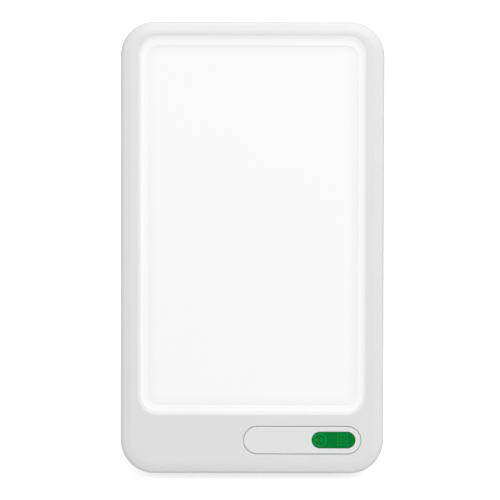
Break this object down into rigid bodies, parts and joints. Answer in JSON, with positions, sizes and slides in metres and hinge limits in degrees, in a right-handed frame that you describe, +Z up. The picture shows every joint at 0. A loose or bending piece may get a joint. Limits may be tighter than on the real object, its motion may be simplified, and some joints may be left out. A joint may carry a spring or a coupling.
{
  "type": "light therapy lamp",
  "caption": "Slim portrait light panel with an opal window and a pill-shaped push-button low on its face, leaning back on a fold-out leg.",
  "frame": {"origin": "centre of the foot strip's flat contact face on the desk, with the panel leaning back 20 degrees on its open leg", "axes": "+Z up from the desk, +X to the viewer's right, -Y towards the viewer, +Y towards the leg"},
  "size_m": [0.156, 0.1158, 0.2578],
  "materials": {
    "white_housing": "fine satin texture",
    "white_plate": "satin",
    "opal_acrylic": "satin opal",
    "film": "matt",
    "reflector": "white, matt",
    "led_board": "white solder mask on an aluminium core",
    "led_package": "phosphor in a white package",
    "screw_steel": "zinc plated",
    "circuit_board": "green solder mask",
    "black_plastic": "moulded",
    "ferrite": "sintered",
    "capacitor_can": "plain can",
    "connector_nylon": "natural nylon",
    "red_insulation": "soft insulation",
    "black_insulation": "soft insulation",
    "inlet_brass": "nickel plated",
    "foot_rubber": "soft grey",
    "green_button": "satin"
  },
  "bodies": {
    "lamp": {"front_bezel": "white_housing", "rear_cover": "white_housing", "diffuser_panel": "opal_acrylic", "diffusion_film": "film", "reflector_frame": "reflector", "led_board": "led_board", "leds": "led_package", "driver_board": "circuit_board", "driver_board_screws": "screw_steel", "driver_chip": "black_plastic", "power_inductor": "ferrite", "electrolytic_capacitors": "capacitor_can", "board_connector": "connector_nylon", "led_connector": "connector_nylon", "led_lead_red": "red_insulation", "led_lead_black": "black_insulation", "power_inlet": "black_plastic", "power_inlet_pin": "inlet_brass", "case_screws": "screw_steel", "control_plate": "white_plate", "switch_body": "black_plastic", "hinge_pin": "screw_steel", "foot_strip": "foot_rubber"},
    "button": {"button_cap": "green_button", "switch_plunger": "connector_nylon"},
    "stand": {"stand_leg": "white_housing", "stand_foot_pad": "foot_rubber"}
  },
  "joints": [
    {"name": "button_press", "type": "slide", "parent": "lamp", "child": "button", "axis": [0, 0.9397, -0.342], "range_m": [0, 0.0015], "stiffness_N_per_m": 1500},
    {"name": "stand_fold", "type": "hinge", "parent": "lamp", "child": "stand", "pos_m": [0, 0.06555, 0.17898], "axis": [-1, 0, 0], "range_deg": [0, 30]}
  ]
}
